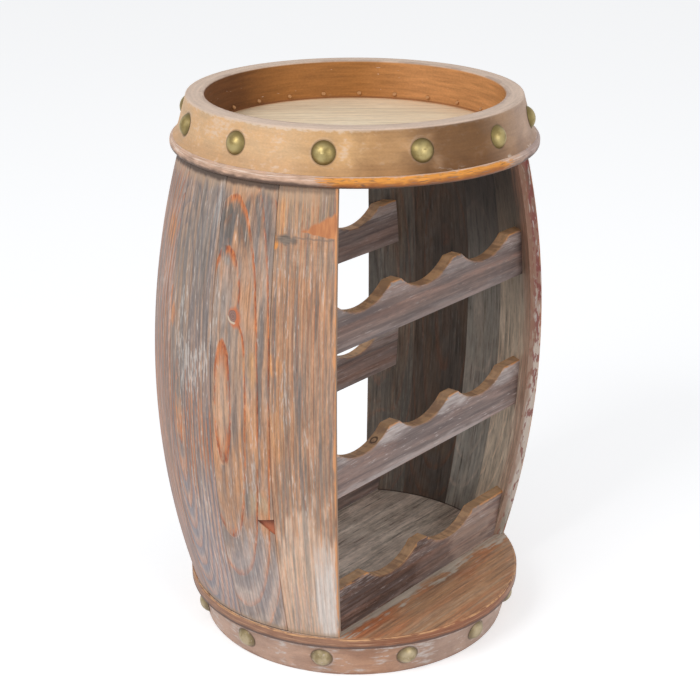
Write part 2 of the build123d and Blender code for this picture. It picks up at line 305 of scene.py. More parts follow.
# How each stave differs. Stains are (sideways, height, half width, half length, share, colour),
# and veils are the same but lie over the grain. Washes, where pale wash has stayed, are the first four
staveLooks = {
    "left_stave_1": {
        "seed": 11, "pithAcross": 39.7, "pithOut": 196, "ringStart": 10.3, "crowd": 0.82, "ringWidth": 2.04,
        "ringShift": 0, "lineRise": 0.5, "lines": 0.45, "grey": (0.41, 0.31, 0.275),
        "warm": (0.49, 0.345, 0.29), "wash": 0.3, "veils": [(4, 90, 22, 50, 0.3, (0.44, 0.37, 0.37))],
        "stains": [(8, 408, 9, 15, 0.75, (0.66, 0.3, 0.13)), (2, 440, 14, 16, 0.6, (0.25, 0.19, 0.16)),
            (12, 265, 9, 85, 0.5, (0.27, 0.21, 0.18)), (-12, 130, 10, 60, 0.4, (0.33, 0.29, 0.29))],
        "washes": [(-6, 360, 12, 20), (14, 330, 8, 40)],
    },
    "left_stave_2": {
        "seed": 23, "pithAcross": -17.8, "pithOut": 199.2, "ringStart": 10.3, "crowd": 0.82,
        "ringWidth": 2.04, "ringShift": 0, "lineRise": 0.35, "lines": 0.8, "fineLines": 0, "lineTop": 285,
        "darkEarly": 0.8, "wash": 0.55, "grey": (0.3, 0.25, 0.22), "warm": (0.41, 0.29, 0.235),
        "dark": (0.2, 0.176, 0.178), "bandShare": 0.65, "bandTop": 190, "bandDark": (0.3, 0.275, 0.3),
        "bandPale": (0.57, 0.43, 0.37), "veils": [(0, 88, 36, 64, 0.12, (0.6, 0.56, 0.6))],
        "stains": [(-17, 240, 8, 20, 0.8, (0.64, 0.36, 0.22)), (-17, 194, 9, 8, 0.6, (0.66, 0.33, 0.18)),
            (-26, 334, 5, 11, 0.9, (0.66, 0.27, 0.12)), (-10, 110, 20, 70, 0.6, (0.42, 0.36, 0.36)),
            (6, 300, 10, 60, 0.45, (0.27, 0.21, 0.19)), (0, 415, 20, 36, 0.5, (0.27, 0.235, 0.21)),
            (24, 436, 4, 26, 0.8, (0.47, 0.44, 0.41)), (15, 360, 3, 40, 0.5, (0.2, 0.17, 0.155)),
            (16, 80, 14, 50, 0.5, (0.46, 0.36, 0.33))],
        "washes": [(24, 316, 7, 30), (0, 285, 12, 26), (12, 300, 6, 20), (-12, 320, 10, 34)],
    },
    "left_stave_3": {
        "seed": 31, "pithAcross": -19.3, "pithOut": 208.3, "pithLean": -0.0193, "spread": 0.91,
        "ringWidth": 9.3, "ringShift": 5.5, "fineLines": 0.15,
        "warm": (0.58, 0.305, 0.165), "grey": (0.4, 0.3, 0.24), "dark": (0.22, 0.19, 0.18),
        "darkEarly": 0.65, "bandShare": 0.55, "bandTop": 130, "bandDark": (0.32, 0.285, 0.28),
        "bandPale": (0.6, 0.48, 0.42), "veils": [(-4, 92, 30, 46, 0.12, (0.6, 0.54, 0.54))],
        "stains": [(-21, 424, 9, 24, 0.95, (0.13, 0.12, 0.11)),
            (-3, 427, 10, 28, 0.9, (0.155, 0.135, 0.12)), (17, 440, 10, 30, 0.9, (0.18, 0.155, 0.14)),
            (21, 318, 3.4, 60, 0.8, (0.21, 0.18, 0.16)), (13, 212, 3, 34, 0.6, (0.27, 0.22, 0.19)),
            (-20, 365, 9, 32, 0.6, (0.44, 0.38, 0.34)), (-18, 270, 11, 60, 0.8, (0.76, 0.47, 0.3)),
            (12, 312, 6, 18, 0.7, (0.66, 0.36, 0.16)), (-2, 300, 10, 60, 0.4, (0.5, 0.34, 0.24)),
            (-4, 105, 30, 50, 0.7, (0.43, 0.37, 0.35)), (-12, 112, 11, 13, 0.75, (0.26, 0.23, 0.235)),
            (9, 90, 6, 34, 0.6, (0.28, 0.24, 0.24)), (-12, 82, 11, 3, 0.75, (0.7, 0.58, 0.48)),
            (14, 184, 15, 12, 0.6, (0.52, 0.41, 0.28)), (4, 55, 30, 9, 0.5, (0.5, 0.41, 0.33))],
        "washes": [(-28, 340, 8, 40), (14, 200, 8, 26), (4, 150, 14, 8)], "knots": [(-6.7, 352, 3.9, 4)],
        "chipped": 1,
    },
    "left_stave_4": {
        "seed": 47, "straight": 1, "joint": 0.45, "ringWidth": 4.3, "ringShift": 0, "lineRise": 0.5,
        "fineWidth": 1.9, "fineLines": 0.35, "lines": 0.4, "line": (0.52, 0.19, 0.085), "wander": 2.5,
        "ragged": 0.5, "warm": (0.46, 0.275, 0.17), "grey": (0.37, 0.26, 0.19), "streaks": 0.5,
        "darkStreaks": 0.75, "wash": 0.33,
        "veils": [(16, 88, 12, 66, 0.36, (0.84, 0.8, 0.78)), (0, 95, 36, 100, 0.2, (0.9, 0.72, 0.57))],
        "stains": [(0, 447, 44, 20, 0.9, (0.44, 0.3, 0.19)), (2, 404, 34, 12, 0.6, (0.4, 0.3, 0.22)),
            (9, 368, 5, 36, 0.85, (0.21, 0.15, 0.115)), (-8, 345, 3, 40, 0.5, (0.26, 0.19, 0.15)),
            (-24, 316, 7, 9, 0.8, (0.66, 0.3, 0.11)), (-22, 262, 7, 30, 0.5, (0.66, 0.34, 0.15)),
            (2, 100, 34, 84, 0.8, (0.82, 0.57, 0.41)), (15, 88, 9, 44, 0.75, (0.76, 0.7, 0.66)),
            (-12, 80, 3, 34, 0.6, (0.33, 0.27, 0.27)), (-3, 84, 2.4, 30, 0.5, (0.35, 0.29, 0.29)),
            (-21, 440, 4, 20, 0.8, (0.7, 0.37, 0.17)), (-1, 216, 2, 12, 0.6, (0.27, 0.2, 0.17))],
        "washes": [(-14, 290, 5, 34), (4, 262, 3, 18), (14, 92, 12, 50), (15, 84, 8, 40), (6, 200, 6, 40),
            (-8, 200, 3, 30)],
        "spikes": [(-16, 421.5, 9.5, 4.2)], "wedges": [(-3, 429, 30, 423, 449)], "wornEdge": 1,
    },
    "right_stave_1": {
        "seed": 53, "pithAcross": 60, "pithOut": 240, "ringWidth": 8, "wornEdge": -1, "flaking": 1,
        "wash": 0.5,
        "stains": [(0, 110, 26, 60, 0.5, (0.58, 0.44, 0.36)), (8, 400, 8, 40, 0.7, (0.24, 0.19, 0.165)),
            (-10, 250, 7, 40, 0.6, (0.62, 0.33, 0.17))],
        # its pale inside colour is partly painted light on a face that lies in shadow
        "washes": [(-8, 120, 12, 50), (12, 300, 8, 40), (-14, 360, 6, 26)], "inside": (0.82, 0.7, 0.555),
        "insideShare": 0.85, "paintedShade": 0.93,
    },
    "right_stave_2": {
        "seed": 61, "pithAcross": 10, "pithOut": 211, "ringWidth": 8, "darkEarly": 0.6, "wash": 0.5,
        "stains": [(-4, 420, 14, 26, 0.7, (0.21, 0.185, 0.17)), (6, 260, 9, 60, 0.6, (0.62, 0.38, 0.25)),
            (-2, 90, 20, 40, 0.5, (0.43, 0.38, 0.38))],
        "washes": [(-8, 300, 8, 40), (4, 150, 10, 30)], "knots": [(6, 190, 4.6, 6)],
        "inside": (0.4, 0.385, 0.345), "insideShare": 0.85, "paintedShade": 0.93,
    },
    "right_stave_3": {
        "seed": 71, "pithAcross": -6, "pithOut": 204, "ringWidth": 9, "darkEarly": 0.6, "wash": 0.5,
        "stains": [(10, 170, 8, 50, 0.6, (0.64, 0.37, 0.22)), (-14, 392, 9, 36, 0.6, (0.25, 0.21, 0.19)),
            (0, 70, 30, 24, 0.5, (0.45, 0.385, 0.37))],
        "washes": [(16, 330, 8, 46), (-16, 230, 8, 30), (4, 110, 12, 20)], "inside": (0.072, 0.061, 0.051),
        "insideShare": 0.85, "knots": [(-12, 300, 5, 6)],
    },
    "right_stave_4": {
        "seed": 83, "pithAcross": 15, "pithOut": 210, "ringWidth": 9, "lines": 0.7, "wornEdge": 1,
        "wash": 0.5,
        "stains": [(-8, 350, 8, 60, 0.6, (0.6, 0.36, 0.22)), (6, 440, 20, 18, 0.6, (0.25, 0.2, 0.17)),
            (0, 90, 24, 40, 0.5, (0.5, 0.41, 0.36))],
        "washes": [(8, 280, 7, 50), (-10, 140, 8, 30)], "inside": (0.1, 0.099, 0.086),
        "knots": [(8, 122, 4, 5)],
    },
}


def staveFinish(name, look):
    wall, number = name.split("_stave_")
    angles = barrel["staveAngles"][wall]
    staveAngle = angles[int(number) - 1]
    middleAngle = barrel["firstAngles"][wall] + sum(angles[:int(number) - 1]) + staveAngle / 2
    low, high = (corner.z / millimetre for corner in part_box(name))
    middle = (low + high) / 2
    bulgeRadius = cadBox[1].x / millimetre
    sag = bulgeRadius - barrel["endRadius"]
    bowRadius = ((high - middle) ** 2 + sag**2) / (2 * sag)

    wood = Finish(name + " wood", look["seed"])
    radial, across, height = wood.apart(wood.turned(-middleAngle))
    out = distance(radial, across)
    angle = wood.angle(across, radial)
    sideways = angle * out
    surface = (bowRadius**2 - (height - middle) * (height - middle)) ** 0.5 - bowRadius + bulgeRadius
    depth = surface - out
    board = wood.together(sideways, depth, height)
    under = depth + (height - middle) * barrel["headLean"]  # true depth: the head is wider than the foot
    outside = wood.mask(under, 2, 1)
    inside = wood.mask(under, barrel["staveThickness"] - 1.4, barrel["staveThickness"] - 0.8)

    # Growth rings round the pith, pulled aside by knots
    wander = wood.noise(board, (40, 40, 150)) * look["wander"] * 2
    ragged = wood.noise(board, (5, 5, 26), 8, 3)
    if look["straight"]:
        slant = wood.mask(height, 230, 50) * wood.mask(sideways, 12, -26) * 7
        rings = sideways + 200 - slant + wander  # 200 keeps them above 0
    else:
        pithOut = (height - middle) * look["pithLean"] + look["pithOut"]
        rings = distance((across - look["pithAcross"]) * look["spread"], pithOut - radial) + wander
    rings = (rings + ragged * look["ragged"] - look["ringStart"]).highest(0) ** look["crowd"]
    for knotAcross, knotHeight, knotSize, pull in look["knots"]:
        near = distance(sideways - knotAcross, (height - knotHeight) / knot["length"]) / knotSize
        rings = rings + near.work("EXPONENT", near * near * -0.1) * pull

    stains = wood.patches(sideways, height, look["stains"], ragged * 2.2)
    bleached = 0
    for oval in look["washes"]:
        bleached = wood.patch(sideways, height, oval, ragged * 3) + bleached
    relief, washed = weatheredWood(wood, board, rings, look, stains, bleached)
    wood.lay(*wood.patches(sideways, height, look["veils"], ragged * 1.1 + relief * 0.5))

    # Round knots on the outside: a dark heart, a flame of resin beside it, and a pale rim
    for knotAcross, knotHeight, knotSize, pull in look["knots"]:
        x = (sideways - knotAcross) / knotSize
        y = (height - knotHeight) / (knotSize * knot["length"])
        near = distance(x, y) + ragged * 0.9
        flame = wood.mask(distance(x - 0.6, y + 0.25) + ragged * 1.8, 2.15, 1.1) * outside
        crescent = wood.mask(near, 1.5, 1.2) * wood.mask(x * 0.5 + y, -0.5, -0.9) * outside
        heart = wood.mask(near, 1.05, 0.85) * outside
        eyeRings = wood.mask((near * 2.6).remainder(), 0.3, 0.9)
        eye = wood.blend(eyeRings, knot["heart"], knot["ring"])
        wood.lay((flame * 0.85, knot["flame"]), (crescent * 0.9, knot["rim"]), (heart * 0.95, eye))
        relief = relief - heart * 0.5

    # Spike knots, cut along their length, over a fine cross crack
    for spikeAcross, spikeHeight, width, length in look["spikes"]:
        cross = wood.noise(wood.together(height, depth, sideways), (1.1, 3, 14), 23)
        checked = wood.patch(sideways, height, (4, spikeHeight - 10, 30, 13), ragged * 2)
        wood.colour = wood.shade(wood.colour, 1 + checked * cross * 0.22)
        crackLine = (height - spikeHeight - 2.2 + ragged * 3 + sideways * 0.03).size()
        crack = wood.mask(crackLine, 1.1, 0.4) * wood.mask(sideways, spikeAcross + 4, spikeAcross + 12)
        spike = wood.patch(sideways, height, (spikeAcross, spikeHeight, width, length), ragged * 1.6)
        tip = wood.patch(sideways, height, (spikeAcross - width, spikeHeight - 3, 3, 5), ragged * 2)
        dark = wood.shade(knot["spike"], 1 + cross * 2)
        wood.lay((crack * 0.65, knot["crack"]), (tip * 0.9, knot["spikeTip"]), (spike * 0.95, dark))

    # A wedge of bare resinous wood that widens to the stave's edge
    for tipAcross, tipHeight, endAcross, lowEnd, highEnd in look["wedges"]:
        share = (sideways - tipAcross) / (endAcross - tipAcross)
        lowSide = height - tipHeight - share * (lowEnd - tipHeight) + ragged * 3
        highSide = share * (highEnd - tipHeight) + tipHeight - height + ragged * 9
        wedge = wood.mask(lowSide, -0.4, 0.6) * wood.mask(highSide, -1, 2.4)
        bare = wood.blend(wood.mask(ragged, -0.12, 0.12), knot["resin"], knot["deepResin"])
        wood.lay((wedge * 0.95, bare))

    # The wall's inside, which darkens towards the head with painted shade
    paintedShade = wood.mask(height + ragged * 50, *barrel["paintedShadeHeights"]) * look["paintedShade"]
    inner = wood.blend(paintedShade, look["inside"], barrel["paintedShadeColour"])
    inner = wood.shade(inner, 1 + ragged * 1.6 + relief * 0.9)

    # Tan paint under the rim, painted shade and dirt right at both ends (under the lip and at the foot), and
    # a little dirt in the tight seams
    spill = wood.noise(board, (14, 14, 16), 20, 3) * 22
    tan = wood.mask(height + spill, high - 15, high - 5) * outside
    foot = wood.mask(height + spill * 0.3, low + 7, low + 2) * outside
    joint = wood.mask(height + ragged * 5, high - 6.4, high - 2.8)
    joint = joint.highest(wood.mask(height, low + 1.6, low + 0.5))
    halfAngle = math.radians(staveAngle / 2)
    seam = (halfAngle - angle.size()) * out
    seam = wood.mask(seam + ragged * 2.5, 0.8, 0.2) * wood.mask(relief + ragged, -0.08, 0.08)
    wood.lay(
        (inside * (paintedShade * 0.15 + look["insideShare"]), inner),
        (tan * 0.55, barrel["tanPaint"]),
        (foot * 0.6, barrel["footPaint"]),
        (joint * look["joint"], barrel["jointDirtAndShade"]),
        (seam * 0.2, barrel["seamDirt"]),
    )

    if look["chipped"]:
        hole = wood.mask(under, *chip["depths"]) * wood.mask(under, *chip["floorDepths"])
        hole = hole * wood.mask(sideways, *chip["sideways"])
        hole = hole * wood.mask((height - chip["height"]).size(), *chip["halfHeights"])
        torn = wood.blend(wood.mask(ragged, -0.1, 0.12), chip["dark"], chip["red"])
        shadow = wood.mask(height + ragged * 14, chip["height"] - 1, chip["height"] + 6)
        shadow = shadow.highest(wood.mask(sideways + ragged * 9, 25, 17))
        wood.lay((hole, wood.blend(shadow * 0.7, torn, chip["shadow"])))

    # The wall's outermost edges are rubbed to orange wood
    if look["wornEdge"]:
        edge = (halfAngle - angle * look["wornEdge"]) * out
        corner = distance(edge.highest(0), under.highest(0))
        face = wood.mask(edge, 0.5, 0.2)
        if look["flaking"]:
            flakes = wood.noise(board, (3, 3, 9), 22, 4)
            specks = wood.noise(board, (1.8, 1.8, 9), 24, 3)
            blurred = height + ragged * 90
            # The two upper tones are painted shade under the rim; the lowest is the paint's own grey
            tonesAndShade = [(wood.mask(blurred, start, end), tone) for start, end, tone in endFace["tonesAndShade"]]
            upper = wood.mask(height, *endFace["flakeHeights"]) * 0.11
            paint = wood.layered(
                endFace["paint"],
                *tonesAndShade,
                (wood.mask(flakes + upper, 0.07, 0.13) * 0.85, endFace["flake"]),
                (wood.mask(specks, 0.07, 0.13) * 0.6, endFace["paleFlake"]),
                (wood.mask(under + ragged * 12, 4.5, 10) * 0.8, endFace["innerSide"]),
            )
            beside = wood.mask(edge + ragged * 30, *endFace["besideWidths"]) * inside
            beside = beside * wood.mask(height, *endFace["besideHeights"])
            wood.lay((beside * 0.6, wood.shade(endFace["beside"], 1 + relief)), (face * 0.95, paint))
        else:
            wood.lay((face * 0.5, endFace["plain"]))
        rubbed = wood.mask(corner + ragged * 7, 2, 0.6) * (0.25 if look["flaking"] else 0.85)
        wood.lay((rubbed, barrel["edgeWear"]))

    return wood.close(0.6 + relief * 0.25 - washed * 0.08, relief, barrel["reliefDepth"])


def dress(name, material):
    piece = nodes[name]
    for place in range(len(piece.data.materials)):
        piece.data.materials[place] = material


for name, change in staveLooks.items():
    dress(name, staveFinish(name, staveBase | change))
print("wine rack: staves dressed")


# Rails. Places on a rail's face are (along, height above its foot)
rail = {
    "thickness": 12,
    "scallopRadius": 55,
    "scallopDepth": 15,
    "bayPitch": 90,
    "bays": {"bottom": 2, "middle": 3, "top": 3},
    "cutColour": (0.56, 0.345, 0.195),
    "cutDark": (0.4, 0.235, 0.14),
    "cornerWear": (0.68, 0.31, 0.11),
    "peakWear": (0.5, 0.31, 0.17),
    "knotRing": (0.07, 0.045, 0.035),
    "humpWash": (0.53, 0.46, 0.44),
    "reliefDepth": 0.35,
}
railBase = {
    "grey": (0.25, 0.195, 0.18), "warm": (0.31, 0.21, 0.18), "line": (0.38, 0.19, 0.13),
    "deepLine": (0.22, 0.11, 0.085), "dark": (0.14, 0.105, 0.1), "streak": (0.4, 0.28, 0.24),
    "sootColour": (0.1, 0.07, 0.062), "washColour": (0.54, 0.48, 0.46), "ringWidth": 9, "ringShift": 0,
    "lineRise": 0.4, "lines": 0.25, "fineWidth": 3, "fineLines": 0.05, "darkEarly": 0.4, "streaks": 0.35,
    "darkStreaks": 0.6, "warmFibres": 0.1, "soot": 0.25, "wash": 0.3, "fibre": 0.45, "wander": 5,
    "pithOut": 30, "lineTop": 0, "bandShare": 0, "humps": 0.5, "knot": (), "stains": [],
}
railLooks = {
    "front_rail_bottom": {
        "seed": 101, "pithAcross": -70, "grey": (0.17, 0.115, 0.095), "warm": (0.26, 0.165, 0.135),
        "humps": 0.2,
        "stains": [(-75, 22, 80, 40, 0.95, (0.075, 0.043, 0.033)), (78, 24, 36, 30, 0.8, (0.4, 0.29, 0.235))],
    },
    "front_rail_middle": {"seed": 113, "pithAcross": -20, "humps": 1, "wash": 0.75, "knot": (-68, 33)},
    "front_rail_top": {
        "seed": 127, "pithAcross": -50, "pithOut": 60, "grey": (0.155, 0.12, 0.11),
        "warm": (0.22, 0.155, 0.135), "humps": 0.35,
    },
    "back_rail_bottom": {"seed": 131, "pithAcross": 20, "grey": (0.19, 0.14, 0.12)},
    "back_rail_middle": {"seed": 149, "pithAcross": -60},
    "back_rail_top": {"seed": 151, "pithAcross": -30},
}


def railFinish(name, look):
    shelf = name.split("_rail_")[1]
    low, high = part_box(name)
    face = (low.y + high.y) / 2 / millimetre
    foot = low.z / millimetre
    top = high.z / millimetre
    wood = Finish(name + " wood", look["seed"])
    along, thickness, height = wood.apart(wood.place)
    board = wood.together(height, thickness, along)
    wander = wood.noise(board, (30, 30, 170)) * look["wander"]
    ragged = wood.noise(board, (5, 5, 22), 8, 3)
    rings = distance(height - (top + look["pithAcross"]), thickness - (face + look["pithOut"])) + wander

    # How far a point is from the sawn top line, and from the nearer broad face
    count = rail["bays"][shelf]
    centre = top - rail["scallopDepth"] + rail["scallopRadius"]
    sawn = top - height
    bottoms = 999
    for bay in range(count):
        middle = (bay - (count - 1) / 2) * rail["bayPitch"]
        sawn = sawn.lowest(distance(along - middle, height - centre) - rail["scallopRadius"])
        bottoms = (along - middle).size().lowest(bottoms)
    broad = rail["thickness"] / 2 - (thickness - face).size()

    hump = wood.mask(height - foot + ragged * 26, 24, 38) * wood.mask(bottoms, 12, 30)
    footWash = wood.mask(height - foot + ragged * 16, 9, 3)
    stains = [(hump * look["humps"], rail["humpWash"]), (footWash * look["humps"] * 0.6, rail["humpWash"])]
    stains += wood.patches(along, height - foot, look["stains"], ragged * 2.2)
    relief = weatheredWood(wood, board, rings, look, stains, hump)[0]

    cut = wood.mask(sawn, 1.2, 0.4) * wood.mask(broad, 0.2, 0.8)
    bands = wood.noise(wood.place, (6, 24, 6), 22, 3)
    cutColour = wood.blend(wood.mask(bands + ragged * 0.6, 0.1, -0.12), rail["cutColour"], rail["cutDark"])
    wood.lay((cut * 0.9, wood.shade(cutColour, 1.05 + bands * 0.7)))
    if look["knot"]:
        mark = distance(along - look["knot"][0], (thickness - face) * 1.1) + ragged * 2
        ring = wood.mask((mark - 3.4).size(), 1.3, 0.5) * cut
        wood.lay((ring * 0.8, rail["knotRing"]))

    # Corners are rubbed most on the peaks between the scallops
    peak = wood.mask(top - height, 7, 1.5)
    corner = wood.mask(sawn.highest(0) + broad + ragged * 7, 2.6, 0.9)
    rubbed = corner * (peak * 0.6 + 0.25) * wood.mask(ragged + bands * 0.5, -0.12, 0.05)
    peakTop = cut * peak * wood.mask(ragged, 0.12, -0.08)
    wood.lay((rubbed, rail["cornerWear"]), (peakTop * 0.6, rail["peakWear"]))
    return wood.close(0.58 + relief * 0.25, relief, rail["reliefDepth"])


for name, change in railLooks.items():
    dress(name, railFinish(name, railBase | change))
print("wine rack: rails dressed")


# Round boards. The base board shows a strip in front of the rail, the tray board its floor and lip.
# A place round a board or a ring is (middle, half width where a mask starts, and where it is full)
boards = {
    "baseRadius": 160,
    "trayRadius": 165,
    "trayFloorRadius": 133,
    "railFace": 84,
}
boardBase = {
    "grainAngle": 0, "bandShare": 0, "ringShift": 0, "lineRise": 0.5, "lineTop": 0, "darkStreaks": 0.4,
    "warmFibres": 0.3,
}
baseBoardLook = boardBase | {
    "seed": 171, "grey": (0.52, 0.29, 0.16), "warm": (0.58, 0.21, 0.09), "line": (0.5, 0.19, 0.09),
    "deepLine": (0.28, 0.1, 0.06), "dark": (0.2, 0.13, 0.095), "streak": (0.46, 0.34, 0.24),
    "sootColour": (0.13, 0.085, 0.065), "washColour": (0.5, 0.44, 0.37), "ringWidth": 14, "lines": 0.35,
    "fineWidth": 5, "fineLines": 0.15, "darkEarly": 0.3, "streaks": 0.5, "soot": 0.35, "wash": 0.2,
    "fibre": 0.7, "paint": (0.5, 0.45, 0.38), "coveredDustAndLight": (0.62, 0.575, 0.52), "rub": (0.76, 0.43, 0.21),
    "side": (0.33, 0.165, 0.1), "sideRed": (0.27, 0.1, 0.05), "sideRedPlace": (-105, 40, 20),
    "sideDark": (0.14, 0.085, 0.07), "sideLine": (0.66, 0.4, 0.25), "reliefDepth": 0.25,
}
trayBoardLook = boardBase | {
    "seed": 191, "grainAngle": -50, "grey": (0.96, 0.81, 0.59), "warm": (0.98, 0.8, 0.57),
    "line": (0.76, 0.56, 0.36), "deepLine": (0.5, 0.33, 0.19), "dark": (0.62, 0.48, 0.33),
    "streak": (0.88, 0.75, 0.56), "sootColour": (0.52, 0.39, 0.26), "washColour": (0.84, 0.75, 0.62),
    "ringWidth": 16, "lines": 0.3, "fineWidth": 4, "fineLines": 0.15, "darkEarly": 0.3, "streaks": 0.4,
    "soot": 0.3, "wash": 0.4, "fibre": 0.4, "lip": (0.62, 0.4, 0.285), "lipPale": (0.83, 0.72, 0.63),
    "lipNicksAndShade": (0.1, 0.062, 0.048), "lipMauve": (0.4, 0.3, 0.285), "mauvePlace": (-52, 38, 20),
    "bare": (0.78, 0.31, 0.045), "bareShade": (0.31, 0.095, 0.025), "barePlace": (-119, 39, 25),
    "rimPaint": (0.56, 0.36, 0.19), "footLine": (0.66, 0.33, 0.13), "reliefDepth": 0.2,
}


# A point's height, its distance from the axis, and its angle round it
def roundAxis(finish):
    along, across, height = finish.apart(finish.place)
    return height, distance(along, across), finish.angle(across, along)


# A place whose noise runs in streaks round the axis
def ringWisePlace(finish):
    along, across, height = finish.apart(finish.place)
    return finish.together(along, across, (height - distance(along, across)) * 12)


def boardWood(wood, look):
    grainAlong, grainAcross = wood.apart(wood.turned(-look["grainAngle"]))[:2]
    height = wood.apart(wood.place)[2]
    board = wood.together(grainAcross, height, grainAlong)
    wander = wood.noise(board, (60, 60, 220)) * 14
    return weatheredWood(wood, board, distance(grainAcross + 30, height + 90) + wander, look)[0]


def baseBoardFinish(look):
    wood = Finish("base board wood", look["seed"])
    low, high = (corner.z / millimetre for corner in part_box("base_board"))
    height, out, angle = roundAxis(wood)
    across = wood.apart(wood.place)[1]
    relief = boardWood(wood, look)
    railFace = boards["railFace"]
    chew = wood.noise(wood.place, (14, 14, 6), 20, 3)
    # Between the rails the floor is pale: dust, and partly painted light on floor that lies in shade
    covered = wood.mask(across.size(), railFace + 2, railFace - 2)
    coveredDustAndLight = wood.shade(look["coveredDustAndLight"], 1 + relief * 1.5 + chew)
    smear = wood.noise(wood.place, (40, 5, 5), 24, 4)
    wide = wood.mask(smear + chew * 0.6, -0.12, 0.2) * 15
    joint = wood.mask(across + wide, -railFace - 8, -railFace + 2)
    joint = joint * wood.mask(across, -railFace + 3, -railFace)
    paint = wood.shade(look["paint"], 1 + smear * 1.2 + relief * 0.5)

    # The side: rubbed on its top corner, with a second broken line above a dark foot
    streaks = wood.noise(ringWisePlace(wood), (24, 24, 9), 21, 3)
    radius = boards["baseRadius"]
    edge = wood.mask(out, radius - 2.2, radius - 0.8)
    reddened = wood.facing(angle, look["sideRedPlace"], streaks)
    side = wood.blend(reddened * 0.8, look["side"], look["sideRed"])
    side = wood.shade(side, 1 + streaks * 1.2 + chew * 0.6)
    side = wood.blend(wood.mask(height + chew * 2, low + 3, low + 1.5), side, look["sideDark"])
    second = wood.mask((height - low - 4.4 + chew * 2).size(), 0.9, 0.2)
    second = second * wood.mask(streaks, -0.04, 0.06)
    side = wood.blend(second * 0.45, side, look["sideLine"])
    corner = distance(out - radius + 1.2, height - high + 1.2)
    rub = wood.mask(corner + chew * 4, 1.7, 0.6) * wood.mask(streaks + chew * 0.8, -0.1, 0.06)
    wood.lay((covered * 0.75, coveredDustAndLight), (joint * 0.85, paint), (edge * 0.95, side), (rub * 0.95, look["rub"]))
    return wood.close(0.5 + relief * 0.3, relief + streaks * 0.6, look["reliefDepth"])


def trayBoardFinish(look):
    wood = Finish("tray board wood", look["seed"])
    low, high = (corner.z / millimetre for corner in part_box("tray_board"))
    height, out, angle = roundAxis(wood)
    ringWise = ringWisePlace(wood)
    relief = boardWood(wood, look)
    inner = boards["trayFloorRadius"]
    outer = boards["trayRadius"]
    streaks = wood.noise(ringWise, (24, 24, 10), 21, 3)
    chew = wood.noise(wood.place, (12, 12, 5), 22, 3)
    lip = wood.mask(out, inner + 4, inner + 8)
    ledge = wood.mask(out + chew * 5, outer - 1.6, outer - 3)
    ridge = wood.mask((height - high + 2 + chew * 4).size(), 1.8, 0.5) * wood.mask(streaks, -0.02, 0.09)
    pale = ridge.highest(ledge * wood.mask(streaks + chew * 0.5, -0.1, 0.06))

    # The lip turns mauve towards the right, past the bare orange wood along its front. Its lower half is
    # darkened with painted shade, most near its bottom edge
    mauve = wood.facing(angle, look["mauvePlace"], chew * 0.3)
    forward = wood.facing(angle, look["barePlace"], chew * 0.3)
    bare = wood.mask(streaks + chew * 0.4 + forward * 0.5, 0.24, 0.38)
    bare = wood.mask(height + chew * 9 - forward * 3.5, low + 7.2, low + 5.4) * (1 - ledge * 0.8) * bare
    nicks = wood.mask(wood.noise(ringWise, (9, 9, 9), 23) + chew * 0.4, 0.06, 0.18)
    # painted shade on the lip's lower half
    lowerShade = wood.mask(height + chew * 9, low + 7.5, low + 2.5)
    shadow = wood.mask(height + chew * 4 + forward * 1.8, low + 4.8, low + 2.2)
    bareColour = wood.layered(
        wood.shade(look["bare"], 1 + streaks * 0.9),
        (lowerShade * 0.85, look["bareShade"]),
        (nicks * 0.7, look["lipNicksAndShade"]),
    )
    lipColour = wood.layered(
        wood.shade(look["lip"], 1 + streaks * 1.3 + chew * 0.6),
        (pale * 0.65, look["lipPale"]),
        (mauve * 0.7, look["lipMauve"]),
        (lowerShade * 0.45, look["lipNicksAndShade"]),
        (bare * 0.95, bareColour),
        (shadow * 0.85, look["lipNicksAndShade"]),
    )

    # Inside, the rim's paint has run a little onto the floor, with a thin orange line at its foot
    rimPaint = wood.mask(out + streaks * 8, inner - 7, inner - 1) * (1 - lip)
    footLine = wood.mask(out + chew * 1.5, inner - 1.6, inner - 0.8) * (1 - lip)
    wood.lay((lip, lipColour), (rimPaint * 0.5, look["rimPaint"]), (footLine * 0.8, look["footLine"]))
    return wood.close(0.5 + relief * 0.2, relief * (1 - lip) + streaks * lip, look["reliefDepth"])


dress("base_board", baseBoardFinish(baseBoardLook))
dress("tray_board", trayBoardFinish(trayBoardLook))
print("wine rack: boards dressed")
